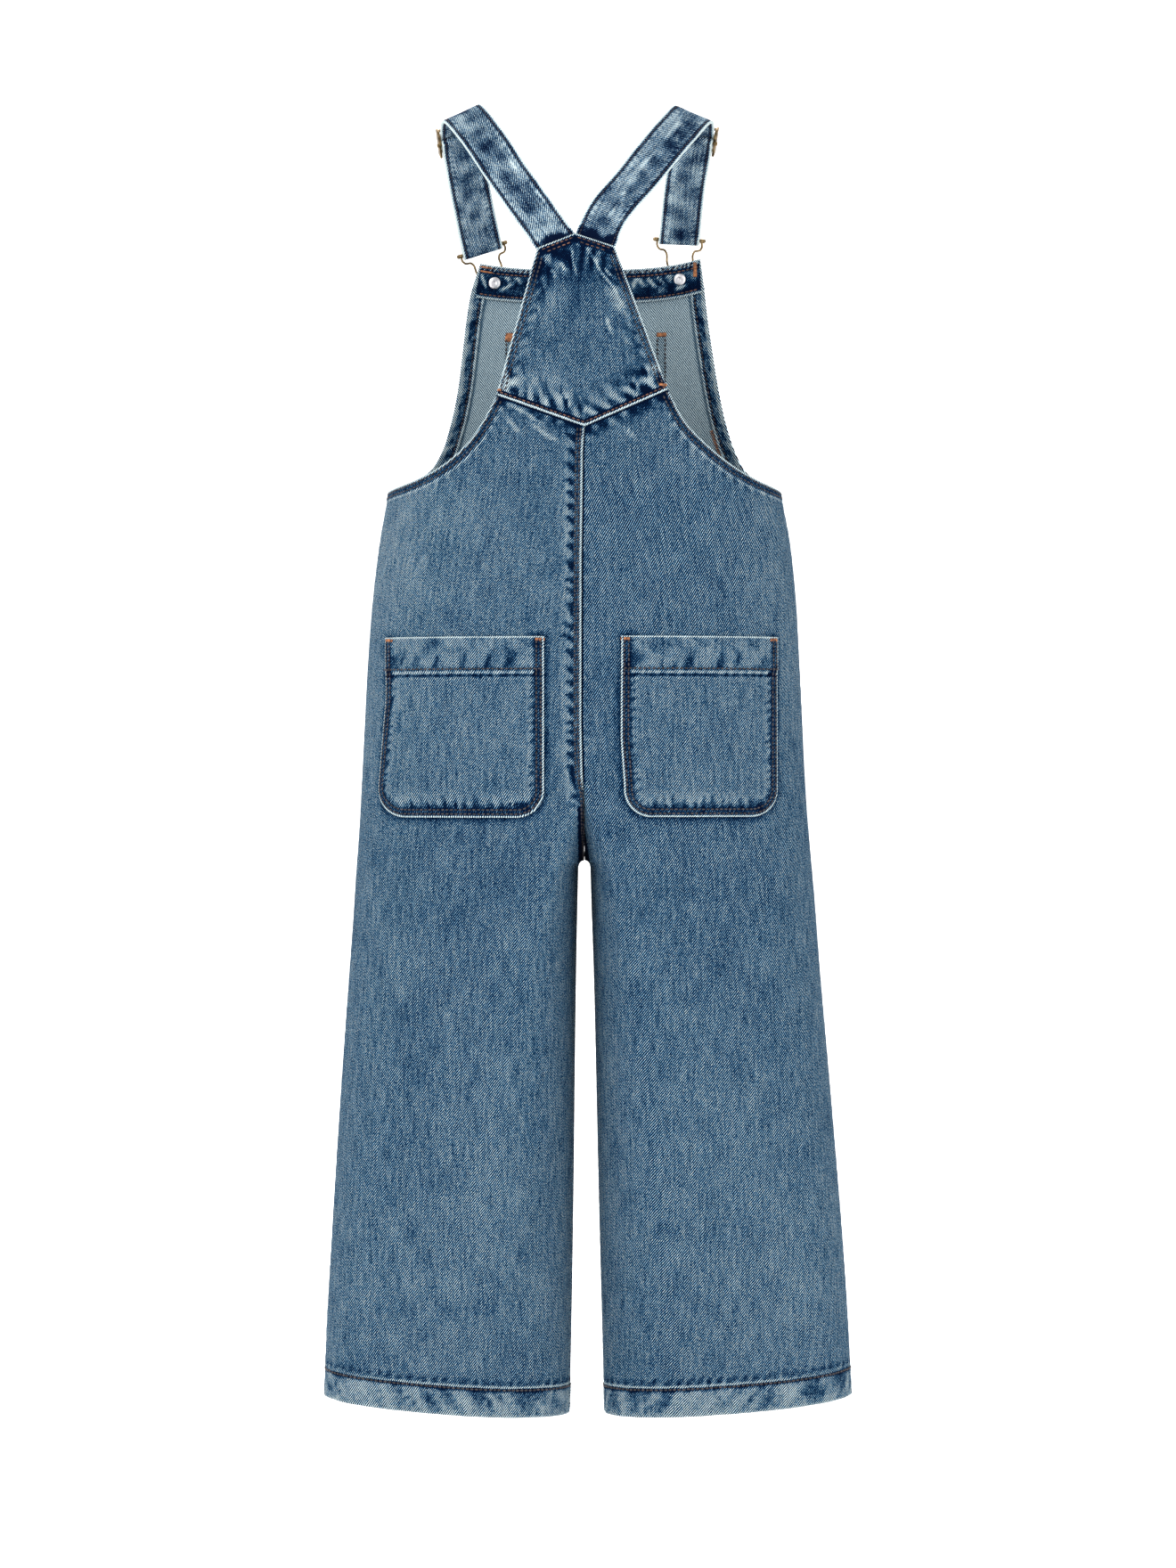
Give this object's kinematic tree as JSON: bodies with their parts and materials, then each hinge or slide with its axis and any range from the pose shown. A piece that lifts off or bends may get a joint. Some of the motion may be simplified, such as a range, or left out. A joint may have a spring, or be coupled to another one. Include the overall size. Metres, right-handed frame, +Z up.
{
  "type": "kids dungarees",
  "caption": "Child's wide-leg denim dungarees, hollow as worn, with yoke, bib, patch pockets and straps on brass hook buckles.",
  "frame": {"origin": "between the two straps at the shoulder line, level with the shoulders that hold the garment up", "axes": "+X the wearer's left, +Y the wearer's back, +Z up along the body"},
  "size_m": [0.4002, 0.1892, 0.9934],
  "materials": {
    "denim": "washed blue cotton denim, matt, twill weave",
    "denim_dark": "darker blue cotton denim, matt",
    "thread": "dark brown and orange polyester sewing thread",
    "brass": "antique brass wire, slightly worn",
    "silver": "smooth nickel-coloured rivet"
  },
  "bodies": {
    "root": {"back_yoke": "denim", "back_left": "denim", "back_right": "denim", "front_left": "denim", "front_right": "denim", "bib": "denim", "bib_pocket": "denim", "back_pocket_left": "denim", "back_pocket_right": "denim", "strap_left": "denim", "strap_right": "denim", "bib_top_facing": "denim_dark", "buckle_left": "brass", "slider_left": "brass", "button_left": "brass", "rivet_left": "silver", "buckle_right": "brass", "slider_right": "brass", "button_right": "brass", "rivet_right": "silver"}
  },
  "joints": []
}
